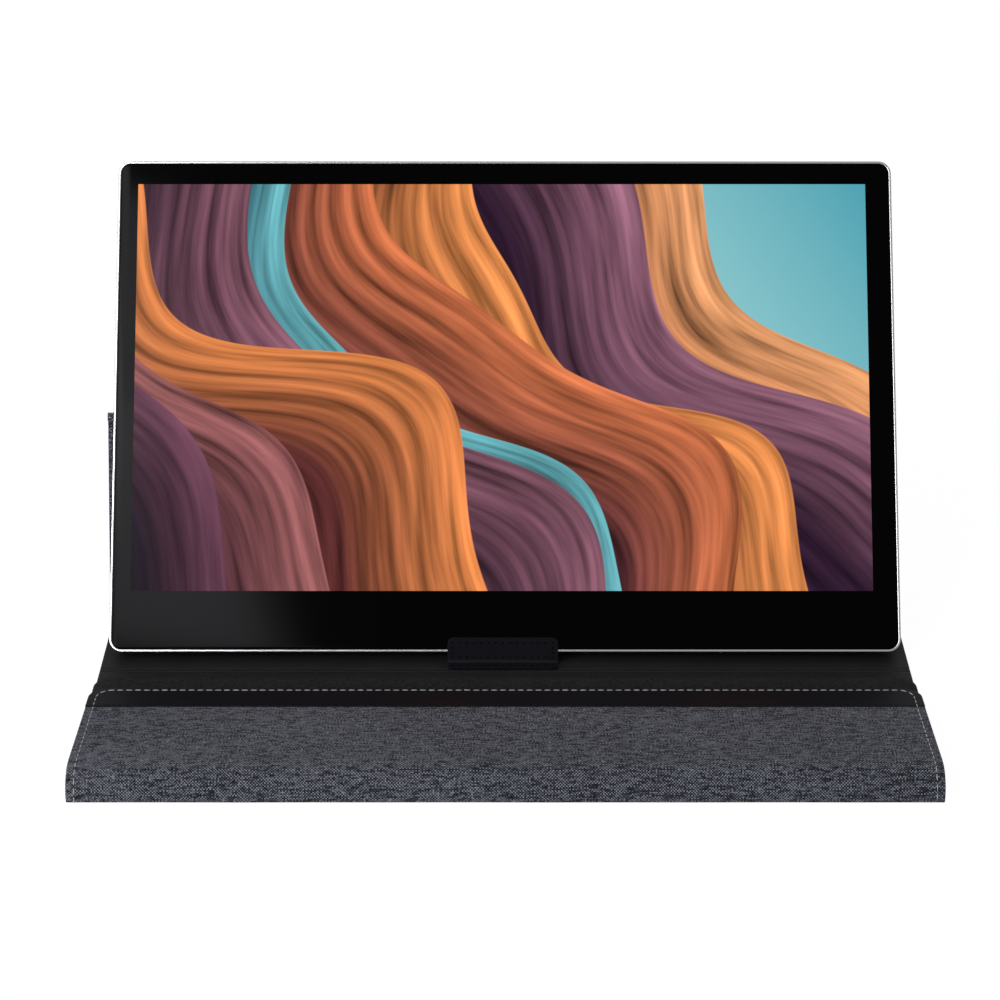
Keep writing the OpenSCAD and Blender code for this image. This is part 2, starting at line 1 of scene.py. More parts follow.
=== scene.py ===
import bmesh
import bpy
import json
from math import atan2, cos, degrees, exp, floor, pi, radians, sin, sqrt
from mathutils import Matrix, Vector
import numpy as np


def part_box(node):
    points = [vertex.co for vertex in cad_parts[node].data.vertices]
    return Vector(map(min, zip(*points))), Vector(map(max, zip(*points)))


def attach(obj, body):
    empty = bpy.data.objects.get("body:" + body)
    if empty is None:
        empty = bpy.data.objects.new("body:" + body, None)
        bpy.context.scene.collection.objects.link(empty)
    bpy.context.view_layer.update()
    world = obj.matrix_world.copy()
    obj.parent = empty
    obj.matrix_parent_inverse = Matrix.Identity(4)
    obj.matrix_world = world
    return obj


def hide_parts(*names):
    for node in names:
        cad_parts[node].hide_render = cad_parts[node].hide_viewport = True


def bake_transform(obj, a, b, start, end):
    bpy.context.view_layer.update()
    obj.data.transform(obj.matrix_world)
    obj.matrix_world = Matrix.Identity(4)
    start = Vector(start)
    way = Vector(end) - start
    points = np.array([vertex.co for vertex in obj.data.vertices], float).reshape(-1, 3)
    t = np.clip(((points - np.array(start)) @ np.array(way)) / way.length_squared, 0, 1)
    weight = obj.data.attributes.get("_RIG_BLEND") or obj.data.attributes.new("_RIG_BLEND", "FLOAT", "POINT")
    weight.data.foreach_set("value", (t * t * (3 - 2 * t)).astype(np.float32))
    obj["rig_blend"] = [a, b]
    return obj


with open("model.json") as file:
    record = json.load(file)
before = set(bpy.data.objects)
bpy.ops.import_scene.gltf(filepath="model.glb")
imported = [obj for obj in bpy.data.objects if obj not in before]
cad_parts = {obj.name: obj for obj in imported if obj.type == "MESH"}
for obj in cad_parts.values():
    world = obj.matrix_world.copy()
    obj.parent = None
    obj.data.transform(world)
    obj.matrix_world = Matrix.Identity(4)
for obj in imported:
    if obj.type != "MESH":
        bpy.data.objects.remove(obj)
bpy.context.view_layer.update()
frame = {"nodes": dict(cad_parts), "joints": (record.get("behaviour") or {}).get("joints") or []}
jointAt = {j["name"]: Vector(j.get("pos_m", (0, 0, 0))) for j in frame["joints"]}
mm = 0.001


# the cover's width and the front of its fold come from the CAD nodes
coverLow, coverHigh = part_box("base_fabric")
coverHalf = coverHigh.x
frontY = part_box("front_roll")[0].y


# camera

camera = {
    "place": (-2.3 * mm, -1070.6 * mm, 615 * mm),
    "pitchDown": radians(27.0),
    "lens": 93.6,
    "sensor": 36.0,
    "near": 0.01,
    "far": 50,
}


def setCamera():
    data = bpy.data.cameras.new("photoCamera")
    data.lens = camera["lens"]
    data.sensor_width = camera["sensor"]
    data.clip_start = camera["near"]
    data.clip_end = camera["far"]
    eye = bpy.data.objects.new("photoCamera", data)
    eye.location = camera["place"]
    eye.rotation_euler = (pi / 2 - camera["pitchDown"], 0, 0)
    bpy.context.scene.collection.objects.link(eye)
    bpy.context.scene.camera = eye


# shader helpers

def feed(tree, socket, value):
    if isinstance(value, bpy.types.NodeSocket):
        tree.links.new(value, socket)
    else:
        socket.default_value = value


def addNode(tree, kind, inputs=None, **settings):
    made = tree.nodes.new(kind)
    for key, value in settings.items():
        setattr(made, key, value)
    for key, value in (inputs or {}).items():
        feed(tree, made.inputs[key], value)
    return made


def calc(tree, operation, *values, clamp=False):
    made = addNode(tree, "ShaderNodeMath", dict(enumerate(values)), operation=operation,
                   use_clamp=clamp)
    return made.outputs[0]


def noise(tree, place, scale, detail):
    made = addNode(tree, "ShaderNodeTexNoise", {"Vector": place, "Scale": scale,
                                                "Detail": detail})
    return made.outputs["Fac"]


def objectPlace(tree):
    return tree.nodes.new("ShaderNodeTexCoord").outputs["Object"]


def mapPlace(tree):
    return addNode(tree, "ShaderNodeUVMap", uv_map="cloth").outputs[0]


def splitPlace(tree, place):
    split = addNode(tree, "ShaderNodeSeparateXYZ", {0: place})
    return split.outputs[0], split.outputs[1]


def mixValues(tree, factor, a, b):
    made = addNode(tree, "ShaderNodeMix", {0: factor, 2: a, 3: b}, data_type="FLOAT")
    return made.outputs[0]


def mixColours(tree, factor, a, b, way="MIX"):
    made = addNode(tree, "ShaderNodeMix", {0: factor, 6: a, 7: b}, data_type="RGBA",
                   blend_type=way)
    return made.outputs[2]


def shadeBy(tree, colour, value):
    grey = addNode(tree, "ShaderNodeCombineColor", {0: value, 1: value, 2: value})
    return mixColours(tree, 1.0, colour, grey.outputs[0], "MULTIPLY")


def ramp(tree, factor, stops):
    made = tree.nodes.new("ShaderNodeValToRGB")
    tree.links.new(factor, made.inputs[0])
    elements = made.color_ramp.elements
    while len(elements) < len(stops):
        elements.new(0.5)
    for element, (place, colour) in zip(elements, stops):
        element.position = place
        element.color = (*colour, 1)
    return made.outputs[0]


# a group's inputs and outputs are numbers, apart from the place it reads
def newGroup(name, inputs, outputs):
    tree = bpy.data.node_groups.new(name, "ShaderNodeTree")
    for way, labels in (("INPUT", inputs), ("OUTPUT", outputs)):
        for label in labels:
            kind = "NodeSocketVector" if label == "Vector" else "NodeSocketFloat"
            tree.interface.new_socket(label, in_out=way, socket_type=kind)
    return tree, tree.nodes.new("NodeGroupInput"), tree.nodes.new("NodeGroupOutput")


def useGroup(tree, group, inputs):
    return addNode(tree, "ShaderNodeGroup", inputs, node_tree=group)


# hump, tone and the painted shade between the threads are each a gain and a shift
weave = {
    "stops": ((0.31, (0.006, 0.007, 0.010)), (0.50, (0.055, 0.060, 0.081)),
              (0.71, (0.310, 0.325, 0.390))),
    "pitch": 0.68 * mm,
    "slub": 3.2 * mm,
    "weftSlub": 1.6,
    "threadStep": 3.7,
    "weftSeed": 9.0,
    "contrast": 0.24,
    "depth": 0.24 * mm,
    "wobble": 0.35 * mm,
    "wobbleScale": 220.0,
    "hump": (0.45, 0.55),
    "tone": (1.1, -0.05),
    "threadGapShade": (0.62, 0.45),
    "patch": 0.12,
    "patchScale": 14.0,
    "fuzz": 0.60,
    "fuzzScale": 900.0,
    "middle": 0.36,
}


# plain weave of thick and thin yarn: each cell shows the warp or the weft
def makeWeaveGroup():
    tree, given, result = newGroup("plainWeave", ("Vector", "Pitch", "Slub", "Contrast"),
                                   ("Tone", "Height"))
    place, pitch, slub = (given.outputs[n] for n in ("Vector", "Pitch", "Slub"))
    wobble = addNode(tree, "ShaderNodeTexNoise", {"Vector": place, "Detail": 2.0,
                                                  "Scale": weave["wobbleScale"]})
    shift = addNode(tree, "ShaderNodeVectorMath", {0: wobble.outputs["Color"],
                                                   "Scale": weave["wobble"]}, operation="SCALE")
    moved = addNode(tree, "ShaderNodeVectorMath", {0: place, 1: shift.outputs[0]},
                    operation="ADD")
    right, up = splitPlace(tree, moved.outputs[0])
    across, along = calc(tree, "DIVIDE", right, pitch), calc(tree, "DIVIDE", up, pitch)
    threadX, threadY = calc(tree, "FLOOR", across), calc(tree, "FLOOR", along)
    humpX, humpY = (calc(tree, "SINE", calc(tree, "MULTIPLY", calc(tree, "FRACT", u), pi))
                    for u in (across, along))
    parity = calc(tree, "FLOORED_MODULO", calc(tree, "ADD", threadX, threadY), 2.0)
    warp = calc(tree, "MULTIPLY", humpX, calc(tree, "MULTIPLY_ADD", humpY, *weave["hump"]))
    weft = calc(tree, "MULTIPLY", humpY, calc(tree, "MULTIPLY_ADD", humpX, *weave["hump"]))
    slubX = calc(tree, "DIVIDE", right, calc(tree, "MULTIPLY", slub, weave["weftSlub"]))
    slubY = calc(tree, "DIVIDE", up, slub)
    warpPlace = addNode(tree, "ShaderNodeCombineXYZ",
                        {0: calc(tree, "MULTIPLY", threadX, weave["threadStep"]), 1: slubY})
    weftPlace = addNode(tree, "ShaderNodeCombineXYZ",
                        {0: slubX, 1: calc(tree, "MULTIPLY", threadY, weave["threadStep"]),
                         2: weave["weftSeed"]})
    tone = mixValues(tree, parity, noise(tree, warpPlace.outputs[0], 1.0, 1.0),
                     noise(tree, weftPlace.outputs[0], 1.0, 1.0))
    evened = calc(tree, "MULTIPLY_ADD", tone, *weave["tone"])
    raised = calc(tree, "MULTIPLY_ADD", parity, given.outputs["Contrast"], evened)
    tree.links.new(raised, result.inputs["Tone"])
    tree.links.new(mixValues(tree, parity, warp, weft), result.inputs["Height"])
    return tree


grain = {
    "mottleScale": 35.0,
    "coarse": 0.6,
    "fine": 0.4,
    "middle": 0.46,
}


# fine grain of leather, microfibre or paint: a coarse cell and a fine speckle
def makeGrainGroup():
    tree, given, result = newGroup("fineGrain", ("Vector", "Cell", "Speckle"),
                                   ("Height", "Mottle"))
    place = given.outputs["Vector"]
    cells = addNode(tree, "ShaderNodeTexVoronoi", {"Vector": place,
                                                   "Scale": given.outputs["Cell"]})
    speckle = noise(tree, place, given.outputs["Speckle"], 2.0)
    height = calc(tree, "MULTIPLY_ADD", cells.outputs["Distance"], grain["coarse"],
                  calc(tree, "MULTIPLY", speckle, grain["fine"]))
    tree.links.new(height, result.inputs["Height"])
    tree.links.new(noise(tree, place, grain["mottleScale"], 3.0), result.inputs["Mottle"])
    return tree


weaveGroup = makeWeaveGroup()
grainGroup = makeGrainGroup()


def bareMaterial(name):
    material = bpy.data.materials.new(name)
    material.use_nodes = True
    tree = material.node_tree
    tree.nodes.clear()
    return material, tree, tree.nodes.new("ShaderNodeOutputMaterial")


def newMaterial(name, **sockets):
    material, tree, out = bareMaterial(name)
    shader = tree.nodes.new("ShaderNodeBsdfPrincipled")
    for key, value in sockets.items():
        shader.inputs[key.replace("_", " ")].default_value = value
    tree.links.new(shader.outputs[0], out.inputs[0])
    return material, tree, shader


def bump(tree, shader, height, distance):
    made = addNode(tree, "ShaderNodeBump", {"Height": height, "Distance": distance,
                                            "Strength": 1.0})
    tree.links.new(made.outputs[0], shader.inputs["Normal"])


# mottled solid finish with a fine grain, on Object coordinates
def grainMaterial(name, dark, light, roughness, cell, speckle, depth, fleck=0.0, **sockets):
    material, tree, shader = newMaterial(name, Roughness=roughness, **sockets)
    coat = useGroup(tree, grainGroup, {"Vector": objectPlace(tree), "Cell": cell,
                                       "Speckle": speckle})
    flecks = calc(tree, "MULTIPLY_ADD", coat.outputs["Height"], fleck, -grain["middle"] * fleck)
    share = calc(tree, "ADD", coat.outputs["Mottle"], flecks, clamp=True)
    tree.links.new(mixColours(tree, share, (*dark, 1), (*light, 1)), shader.inputs["Base Color"])
    bump(tree, shader, coat.outputs["Height"], depth)
    return material


def weaveOn(tree, place):
    return useGroup(tree, weaveGroup, {"Vector": place, "Pitch": weave["pitch"],
                                       "Slub": weave["slub"], "Contrast": weave["contrast"]})


# grey woven fabric: the pattern follows the cloth's own map, measured in metres
def wovenMaterial():
    material, tree, shader = newMaterial("wovenGrey", Roughness=0.85, Sheen_Weight=0.08,
                                         Sheen_Roughness=0.5, Specular_IOR_Level=0.08)
    place = mapPlace(tree)
    cloth = weaveOn(tree, place)
    patch = noise(tree, place, weave["patchScale"], 3.0)
    fuzz = noise(tree, place, weave["fuzzScale"], 2.0)
    shade = calc(tree, "MULTIPLY_ADD", patch, weave["patch"], cloth.outputs["Tone"])
    shade = calc(tree, "MULTIPLY_ADD", fuzz, weave["fuzz"], shade)
    shade = calc(tree, "SUBTRACT", shade, weave["middle"] + weave["contrast"] / 2)
    # painted shade: the colour is darkened where the thread height is low, in the gaps between the threads
    threadGapShade = calc(tree, "MULTIPLY_ADD", cloth.outputs["Height"], *weave["threadGapShade"], clamp=True)
    colour = shadeBy(tree, ramp(tree, shade, weave["stops"]), threadGapShade)
    tree.links.new(colour, shader.inputs["Base Color"])
    bump(tree, shader, cloth.outputs["Height"], weave["depth"])
    return material


# the same weave on Object coordinates, for the fabric nodes that stay as they are
def wovenNodeMaterial():
    material, tree, shader = newMaterial("wovenGreyFold", Roughness=0.9, Specular_IOR_Level=0.08)
    cloth = weaveOn(tree, objectPlace(tree))
    colour = ramp(tree, cloth.outputs["Tone"], weave["stops"])
    tree.links.new(colour, shader.inputs["Base Color"])
    bump(tree, shader, cloth.outputs["Height"], weave["depth"])
    return material


picture = {
    "sky": ((0.70, (0.30, 0.62, 0.64)), (1.0, (0.075, 0.36, 0.45))),
    "black": (0.0005, 0.0005, 0.0005, 1),
    "alongRight": 0.555,
    "alongUp": 0.791,
    "riseRight": 0.403,
    "riseUp": 0.283,
    "edge": 700.0,
    "middle": 0.45,
    "strands": 62.0,
    "strandTurn": 2.4,
    "strandDetail": 3.5,
    "seedStep": 7.0,
    "relief": (2.9, -0.58),
}

# one row for each ribbon of the picture, from the back to the front: height at the left, slope,
# two swings as (size, turns, start), colour at the crest, colour below, depth of the shade
ribbons = [
    (0.84, 0.02, (0.06, 1.3, 0.5), (0.015, 3.1, 1.0),
     (0.90, 0.40, 0.17), (0.26, 0.060, 0.028), 0.20),
    (0.74, 0.05, (0.07, 1.2, 0.9), (0.02, 2.7, 2.0),
     (0.32, 0.135, 0.20), (0.030, 0.011, 0.030), 0.17),
    (0.66, -0.02, (0.08, 1.4, 1.4), (0.02, 3.3, 0.4),
     (0.90, 0.31, 0.09), (0.13, 0.030, 0.022), 0.22),
    (0.55, 0.03, (0.07, 1.5, 2.0), (0.02, 2.9, 1.7),
     (0.66, 0.18, 0.07), (0.075, 0.020, 0.032), 0.18),
    (0.47, -0.04, (0.09, 1.3, 2.6), (0.01, 3.7, 0.8),
     (0.16, 0.50, 0.55), (0.02, 0.085, 0.13), 0.09),
    (0.42, -0.02, (0.09, 1.3, 2.7), (0.01, 3.1, 2.2),
     (0.26, 0.105, 0.15), (0.022, 0.009, 0.022), 0.20),
    (0.30, 0.06, (0.08, 1.6, 3.5), (0.02, 2.9, 1.2),
     (0.85, 0.27, 0.08), (0.11, 0.026, 0.026), 0.18),
    (0.22, -0.05, (0.06, 1.4, 4.2), (0.01, 3.5, 0.2),
     (0.38, 0.13, 0.13), (0.030, 0.011, 0.024), 0.16),
    (0.10, 0.03, (0.05, 1.8, 5.0), (0.01, 2.7, 1.5),
     (0.15, 0.055, 0.09), (0.010, 0.005, 0.012), 0.11),
]


# a generic design of flowing ribbons made of fine strands, made for this screen
def pictureMaterial():
    material, tree, shader = newMaterial("pictureArea", Roughness=0.13, Specular_IOR_Level=0.015,
                                         Emission_Strength=1.0, Base_Color=picture["black"])
    right, up = splitPlace(tree, mapPlace(tree))
    along = calc(tree, "MULTIPLY_ADD", up, -picture["alongUp"], picture["alongUp"])
    along = calc(tree, "MULTIPLY_ADD", right, picture["alongRight"], along)
    rise = calc(tree, "MULTIPLY_ADD", right, picture["riseRight"],
                calc(tree, "MULTIPLY", up, picture["riseUp"]))
    colour = ramp(tree, rise, picture["sky"])
    for number, (height, slope, swing, ripple, crest, below, depth) in enumerate(ribbons):
        top = calc(tree, "MULTIPLY_ADD", along, slope, height)
        for size, turns, start in (swing, ripple):
            turn = calc(tree, "MULTIPLY_ADD", along, turns * pi, start)
            top = calc(tree, "MULTIPLY_ADD", calc(tree, "SINE", turn), size, top)
        under = calc(tree, "SUBTRACT", top, rise)
        mask = calc(tree, "MULTIPLY", under, picture["edge"], clamp=True)
        middle = [0.5 * (a + b) for a, b in zip(crest, below)]
        shade = ramp(tree, calc(tree, "DIVIDE", under, depth),
                     ((0.0, crest), (picture["middle"], middle), (1.0, below)))
        strand = addNode(tree, "ShaderNodeCombineXYZ",
                         {0: calc(tree, "MULTIPLY", along, picture["strandTurn"]),
                          1: calc(tree, "MULTIPLY", under, picture["strands"]),
                          2: picture["seedStep"] * number})
        tone = noise(tree, strand.outputs[0], 1.0, picture["strandDetail"])
        relief = calc(tree, "MULTIPLY_ADD", tone, *picture["relief"])
        colour = mixColours(tree, mask, colour, shadeBy(tree, shade, relief))
    tree.links.new(colour, shader.inputs["Emission Color"])
    return material


metal = {
    "stretch": (40, 3000, 3000),
    "dull": 0.93,
}


# brushed or polished metal: a fine streak in the roughness
def metalMaterial(name, colour, roughness, streak):
    material, tree, shader = newMaterial(name, Metallic=1.0)
    stretched = addNode(tree, "ShaderNodeMapping", {"Vector": objectPlace(tree),
                                                    "Scale": metal["stretch"]})
    lines = noise(tree, stretched.outputs[0], 1.0, 2.0)
    tree.links.new(calc(tree, "MULTIPLY_ADD", lines, streak, roughness),
                   shader.inputs["Roughness"])
    dull = [c * metal["dull"] for c in colour]
    tree.links.new(mixColours(tree, lines, (*dull, 1), (*colour, 1)),
                   shader.inputs["Base Color"])
    return material


def clearMaterial():
    material, tree, shader = newMaterial("clearAcrylic", Roughness=0.05, Transmission_Weight=0.9,
                                         IOR=1.49)
    dots = addNode(tree, "ShaderNodeTexVoronoi", {"Vector": objectPlace(tree), "Scale": 900.0})
    tint = mixColours(tree, dots.outputs["Distance"], (0.9, 0.95, 0.95, 1), (0.8, 0.86, 0.9, 1))
    tree.links.new(tint, shader.inputs["Base Color"])
    return material


# a grain look: name, dark, light, roughness, cells and speckles to the metre, grain depth
finish = {
    "woven": wovenMaterial(),
    "wovenFold": wovenNodeMaterial(),
    "picture": pictureMaterial(),
    "glass": grainMaterial("blackGlass", (0.0003, 0.0003, 0.0005), (0.0005, 0.0005, 0.0008),
                           0.13, 20.0, 60.0, 0.0, Specular_IOR_Level=0.015),
    "leather": grainMaterial("smoothBlack", (0.0050, 0.0050, 0.0070), (0.0070, 0.0070, 0.0095),
                             0.5, 1500.0, 3500.0, 0.03 * mm, Specular_IOR_Level=0.05),
    "lining": grainMaterial("liningBlack", (0.0065, 0.0068, 0.0068), (0.0130, 0.0132, 0.0130),
                            0.6, 1400.0, 3000.0, 0.05 * mm, Specular_IOR_Level=0.10),
    "suede": grainMaterial("suedeBlack", (0.0012, 0.0013, 0.0013), (0.0105, 0.0108, 0.0108),
                           0.9, 620.0, 1400.0, 0.2 * mm, fleck=3.0, Sheen_Weight=0.06,
                           Specular_IOR_Level=0.08),
    "thread": grainMaterial("threadGrey", (0.38, 0.38, 0.38), (0.60, 0.60, 0.60), 0.7,
                            3000.0, 6000.0, 0.03 * mm, Specular_IOR_Level=0.3),
    # near-black beads with no specular stand in for needle holes: painted shade
    "holeShade": grainMaterial("paintedHoleShade", (0.0002, 0.0002, 0.0002), (0.0006, 0.0006, 0.0006), 0.9,
                          2000.0, 5000.0, 0.02 * mm, Specular_IOR_Level=0.0),
    "rim": metalMaterial("polishedRim", (0.30, 0.30, 0.30), 0.14, 0.10),
    "shell": grainMaterial("satinShell", (0.036, 0.038, 0.042), (0.046, 0.048, 0.053), 0.42,
                           5200.0, 7000.0, 0.02 * mm, Metallic=0.6),
    "steel": metalMaterial("socketSteel", (0.52, 0.53, 0.55), 0.28, 0.2),
    "control": metalMaterial("satinControl", (0.62, 0.62, 0.64), 0.30, 0.12),
    "plastic": grainMaterial("blackPlastic", (0.010, 0.010, 0.011), (0.016, 0.016, 0.017), 0.5,
                             2600.0, 5200.0, 0.02 * mm),
    "film": grainMaterial("whiteFilm", (0.80, 0.80, 0.78), (0.88, 0.88, 0.86), 0.6,
                          900.0, 2500.0, 0.01 * mm),
    "board": grainMaterial("greyBoard", (0.22, 0.19, 0.15), (0.34, 0.30, 0.24), 0.9,
                           700.0, 2000.0, 0.08 * mm),
    "circuit": grainMaterial("circuitGreen", (0.010, 0.055, 0.028), (0.016, 0.085, 0.042), 0.35,
                             500.0, 1500.0, 0.02 * mm),
    "cable": grainMaterial("cableFilm", (0.34, 0.18, 0.045), (0.46, 0.26, 0.07), 0.4,
                           700.0, 1800.0, 0.01 * mm),
    "foam": grainMaterial("blackFoam", (0.012, 0.012, 0.012), (0.02, 0.02, 0.02), 0.95,
                          1500.0, 3000.0, 0.06 * mm),
    "acrylic": clearMaterial(),
}

keptNodes = {
    "glass_bond": "foam", "lcd_panel": "glass", "diffuser_sheet": "film",
    "light_guide": "acrylic", "reflector_sheet": "film", "led_strip": "film",
    "panel_tray": "steel", "rear_cover": "shell", "main_board": "circuit",
    "usb_c_ports": "steel", "hdmi_port": "steel", "audio_jack": "plastic",
    "button_board": "circuit", "power_button": "control", "menu_rocker": "control",
    "speaker_left": "plastic", "speaker_right": "plastic", "panel_cable": "cable",
    "button_cable": "cable", "back_magnets": "steel", "board_screws": "steel",
    "base_board": "board", "flap_board": "board", "flap_magnets": "steel",
    "spine_board": "board", "prop_board": "board", "rear_board": "board",
    "rear_magnets": "steel", "foot_fold": "wovenFold", "apex_fold": "wovenFold",
}


def dressNodes():
    for name, look in keptNodes.items():
        mesh = frame["nodes"][name].data
        mesh.materials.clear()
        mesh.materials.append(finish[look])


# mesh helpers

weld = 0.003 * mm
sharpTurn = radians(50)
cornerSteps = 10
thinEdge = 0.15 * mm
flush = 0.01 * mm
mapNames = ("across", "along", "under")

# swells of the cloth, in radians for each metre across and along
swells = ((41, 90), (97, -60))


def newObject(bm, name, material):
    mesh = bpy.data.meshes.new(name)
    bm.to_mesh(mesh)
    bm.free()
    mesh.materials.append(material)
    made = bpy.data.objects.new(name, mesh)
    bpy.context.scene.collection.objects.link(made)
    return made


def finishPiece(bm, name, look, body=None, replaced=(), smooth=True):
    bmesh.ops.remove_doubles(bm, verts=bm.verts, dist=weld)
    bmesh.ops.dissolve_degenerate(bm, dist=weld, edges=bm.edges)
    bmesh.ops.recalc_face_normals(bm, faces=bm.faces)
    piece = newObject(bm, name, finish[look])
    for face in piece.data.polygons:
        face.use_smooth = smooth
    if body:
        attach(piece, body)
    if replaced:
        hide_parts(*replaced)
    return piece


def sharpEdges(bm):
    return [e for e in bm.edges
            if len(e.link_faces) == 2 and e.calc_face_angle(0) > sharpTurn]


def bevelEdges(bm, edges, width, segments=3, clamp=False):
    bmesh.ops.bevel(bm, geom=edges, offset=width, offset_type="OFFSET", segments=segments,
                    profile=0.5, affect="EDGES", material=-1, clamp_overlap=clamp)


def extruded(bm):
    grown = bmesh.ops.extrude_face_region(bm, geom=bm.faces[:])["geom"]
    return [g for g in grown if isinstance(g, bmesh.types.BMVert)]


def writeMap(bm):
    across, along, under = (bm.verts.layers.float[n] for n in mapNames)
    uv = bm.loops.layers.uv.new("cloth")
    for face in bm.faces:
        for loop in face.loops:
            depth = loop.vert[under]
            loop[uv].uv = (loop.vert[across] + depth, loop.vert[along] + depth)


# a panel of the cover: a grid laid along a line of the side view, then given its thickness
def panelPiece(name, line, rows, halfWidth, thickness, look, shift=0.0, columns=72,
               edge=0.6 * mm, body=None, replaced=(), puff=0.0):
    bm = bmesh.new()
    for label in mapNames:
        bm.verts.layers.float.new(label)
    across, along, under = (bm.verts.layers.float[n] for n in mapNames)
    last = len(rows) - 1
    bmesh.ops.create_grid(bm, x_segments=columns, y_segments=last, size=1)
    for vert in bm.verts:
        s = rows[round((vert.co.y + 1) / 2 * last)]
        vert[across] = vert.co.x * halfWidth(s)
        vert[along] = s
        lift = puff * sum(sin(vert[across] * u + s * v) for u, v in swells) / len(swells)
        y, z, ny, nz = line(s)
        vert.co = (shift + vert[across], y + ny * lift, z + nz * lift)
    for vert in extruded(bm):
        y, z, ny, nz = line(vert[along])
        vert[under] = thickness
        vert.co.y = y - ny * thickness
        vert.co.z = z - nz * thickness
    bmesh.ops.recalc_face_normals(bm, faces=bm.faces)
    bevelEdges(bm, sharpEdges(bm), edge, clamp=True)
    writeMap(bm)
    return finishPiece(bm, name, look, body, replaced)


def spread(start, end, step):
    count = max(1, round(abs(end - start) / step))
    return [start + (end - start) * i / count for i in range(count + 1)]


# rows that lie close together where a free corner is round
def cornerRows(start, end, radius, step):
    arc = [end - radius * (1 - sin(pi / 2 * i / cornerSteps)) for i in range(1, cornerSteps + 1)]
    return spread(start, end - radius, step) + arc


def roundCorner(half, end, radius):
    def width(s):
        into = max(0.0, s - (end - radius))
        return half - radius + sqrt(max(0.0, radius ** 2 - into ** 2))
    return width


# one bead of thread, or one dark bead of painted shade where a needle hole is, on a surface
def addBead(bm, place, direction, normal, size):
    side = normal.cross(direction).normalized()
    turn = Matrix((direction, side, normal)).transposed().to_4x4()
    scale = Matrix.Diagonal((*size, 1))
    bmesh.ops.create_uvsphere(bm, u_segments=8, v_segments=5, radius=1,
                              matrix=Matrix.Translation(place) @ turn @ scale)


def walkPath(points, pitch):
    walked, carry = [], 0.0
    for a, b in zip(points, points[1:]):
        length = (b - a).length
        while carry <= length and length > 0:
            walked.append((a.lerp(b, carry / length), (b - a).normalized()))
            carry += pitch
        carry -= length
    return walked


def mirrored(left):
    return left + [Vector((-p.x, p.y, 0)) for p in reversed(left)]


# the flap, from the bottom of the front fold over the top to the free edge

fold = {
    "radius": 12 * mm,
    "centreZ": 1.2 * mm,
    "overlap": 2 * mm,
    "drop": radians(4.5),
    "top": 6.45 * mm,
    "start": 7.6 * mm,
    "length": 66 * mm,
    "skin": 2.0 * mm,
    "swell": 0.05 * mm,
    "bentStep": 0.6 * mm,
    "flatStep": 4 * mm,
    "trim": 17 * mm,
    "trimRise": 0.25 * mm,
    "trimEdge": 0.5 * mm,
    "trimStep": 2 * mm,
    "lining": 0.5 * mm,
    "liningIn": 0.3 * mm,
    "liningLow": 0.1 * mm,
    "liningStep": 0.8 * mm,
    "corner": 8 * mm,
    "stitchPitch": 4.0 * mm,
    "stitchIn": 1.6 * mm,
    "stitchLow": 1.5 * mm,
    "stitchStep": 1.0 * mm,
    "stitchLift": 0.08 * mm,
    "stitchCorner": 7 * mm,
    "stitchTurns": 8,
    "sideStitchIn": 3.6 * mm,
    "stitchSize": (1.6 * mm, 0.22 * mm, 0.2 * mm),
    "seamPitch": 3.2 * mm,
    "seamEnd": 9 * mm,
    "seamIn": 1.0 * mm,
    "seamSink": 0.02 * mm,
    "seamSize": (0.5 * mm, 0.25 * mm, 0.12 * mm),
}
foldPivot = jointAt["flap_fold"]
foldCentreY = frontY + fold["radius"]
foldRise = sqrt(fold["radius"] ** 2 - fold["overlap"] ** 2)
foldTurn = pi - atan2(foldRise, -fold["overlap"])
foldArc = fold["radius"] * foldTurn
flapBack = Vector((0, cos(fold["drop"]), -sin(fold["drop"])))
flapUp = Vector((0, sin(fold["drop"]), cos(fold["drop"])))
flapTopStart = foldPivot + flapBack * fold["start"] + flapUp * fold["top"]
rollTop = Vector((0, foldCentreY - fold["overlap"], fold["centreZ"] + foldRise))
bridge = (flapTopStart - rollTop).length
flapAt = fold["centreZ"] + foldArc + bridge
flapEnd = flapAt + fold["length"]
trimAt = flapEnd - fold["trim"]


def flapLine(s):
    if s < fold["centreZ"]:
        return frontY, s, -1.0, 0.0
    if s < fold["centreZ"] + foldArc:
        turn = pi - (s - fold["centreZ"]) / fold["radius"]
        return (foldCentreY + fold["radius"] * cos(turn),
                fold["centreZ"] + fold["radius"] * sin(turn), cos(turn), sin(turn))
    if s < flapAt:
        t = (s - fold["centreZ"] - foldArc) / bridge
        place = rollTop.lerp(flapTopStart, t)
        return place.y, place.z, 0.0, 1.0
    place = flapTopStart + flapBack * (s - flapAt)
    return place.y, place.z, flapUp.y, flapUp.z


def lowered(line, depth):
    def moved(s):
        y, z, ny, nz = line(s)
        return y - ny * depth, z - nz * depth, ny, nz
    return moved


def flapPoint(across, s, lift=0.0):
    y, z, ny, nz = flapLine(s)
    return Vector((across, y + ny * lift, z + nz * lift)), Vector((0, ny, nz))


def crossFold(piece):
    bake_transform(piece, "cover_base", "flap", start=(0, frontY, fold["centreZ"]),
             end=tuple(flapTopStart))


